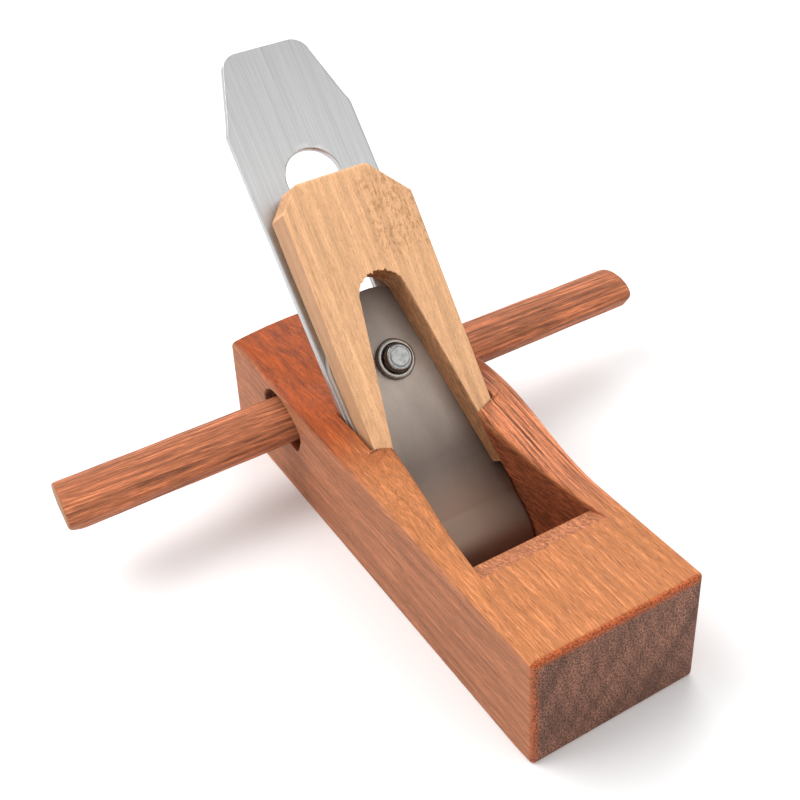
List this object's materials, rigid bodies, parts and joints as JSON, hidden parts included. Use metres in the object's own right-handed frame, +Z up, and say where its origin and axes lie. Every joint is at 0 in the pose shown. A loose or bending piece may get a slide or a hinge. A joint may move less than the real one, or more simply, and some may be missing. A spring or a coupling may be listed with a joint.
{
  "type": "hand plane",
  "caption": "Wooden push plane with a hump-backed hardwood stock, a crossbar handle, a slotted wedge, a wide steel iron and a screwed cap iron",
  "frame": {"origin": "middle of the sole, under the middle of the stock's length", "axes": "+X towards the toe, +Y along the handle, +Z up from the sole"},
  "size_m": [0.1874, 0.2215, 0.1397],
  "materials": {
    "stock_wood": "oiled tropical hardwood, sealed end grain",
    "handle_wood": "bare hardwood, scraped smooth",
    "wedge_wood": "bare pale hardwood, sawn and planed",
    "iron_steel": "ground lengthwise",
    "cap_steel": "ground, slightly browned",
    "screw_zinc": "turned and zinc plated"
  },
  "bodies": {
    "stock": {"stock": "stock_wood"},
    "handle": {"handle": "handle_wood"},
    "wedge": {"wedge": "wedge_wood"},
    "iron": {"iron": "iron_steel"},
    "cap_iron": {"cap_iron": "cap_steel"},
    "cap_screw": {"cap_screw": "screw_zinc"}
  },
  "joints": [
    {"name": "wedge_slide", "type": "slide", "parent": "stock", "child": "wedge", "axis": [-0.6004, 0, 0.7997], "range_m": [0, 0.06]},
    {"name": "iron_slide", "type": "slide", "parent": "stock", "child": "iron", "axis": [-0.6481, 0, 0.7615], "range_m": [-0.0015, 0.008]},
    {"name": "cap_slide", "type": "slide", "parent": "iron", "child": "cap_iron", "axis": [-0.6481, 0, 0.7615], "range_m": [-0.0008, 0.002]},
    {"name": "screw_turn", "type": "hinge", "parent": "cap_iron", "child": "cap_screw", "pos_m": [-0.02191, 0, 0.05711], "axis": [0.7615, 0, 0.6481], "range_deg": [0, 180]},
    {"name": "handle_slide", "type": "slide", "parent": "stock", "child": "handle", "axis": [0, -1, 0], "range_m": [0, 0.14]}
  ]
}
